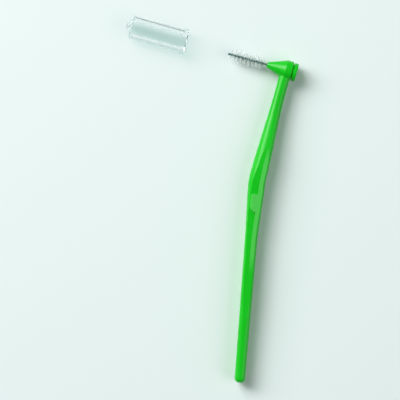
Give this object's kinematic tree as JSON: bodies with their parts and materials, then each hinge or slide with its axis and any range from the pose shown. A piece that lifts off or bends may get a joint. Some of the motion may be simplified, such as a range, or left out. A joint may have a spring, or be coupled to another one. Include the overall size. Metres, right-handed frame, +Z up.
{
  "type": "interdental brush",
  "caption": "Angled interdental brush: slim green handle with thumb scoops, a cone head holding a twisted-wire brush square to the neck, and a clear slip-on protective cap.",
  "frame": {"origin": "on the handle's lower flat side, at the middle of the grip's raised pad", "axes": "+Y up the handle towards the head, +X away from the wire, +Z up through the handle's thickness"},
  "size_m": [0.0531, 0.108, 0.006],
  "materials": {
    "green_plastic": "satin moulded polypropylene",
    "coated_wire": "steel strand with a thin dark teal plastic coat",
    "nylon": "fine pale nylon filament",
    "clear_plastic": "clear moulded plastic"
  },
  "bodies": {
    "brush": {"handle": "green_plastic", "head_plug": "green_plastic", "twisted_wire": "coated_wire", "filaments": "nylon"},
    "cap": {"protective_cap": "clear_plastic"}
  },
  "joints": [
    {"name": "cap_slide", "type": "slide", "parent": "brush", "child": "cap", "axis": [0.9816, -0.1908, 0], "range_m": [0, 0.0293]}
  ]
}
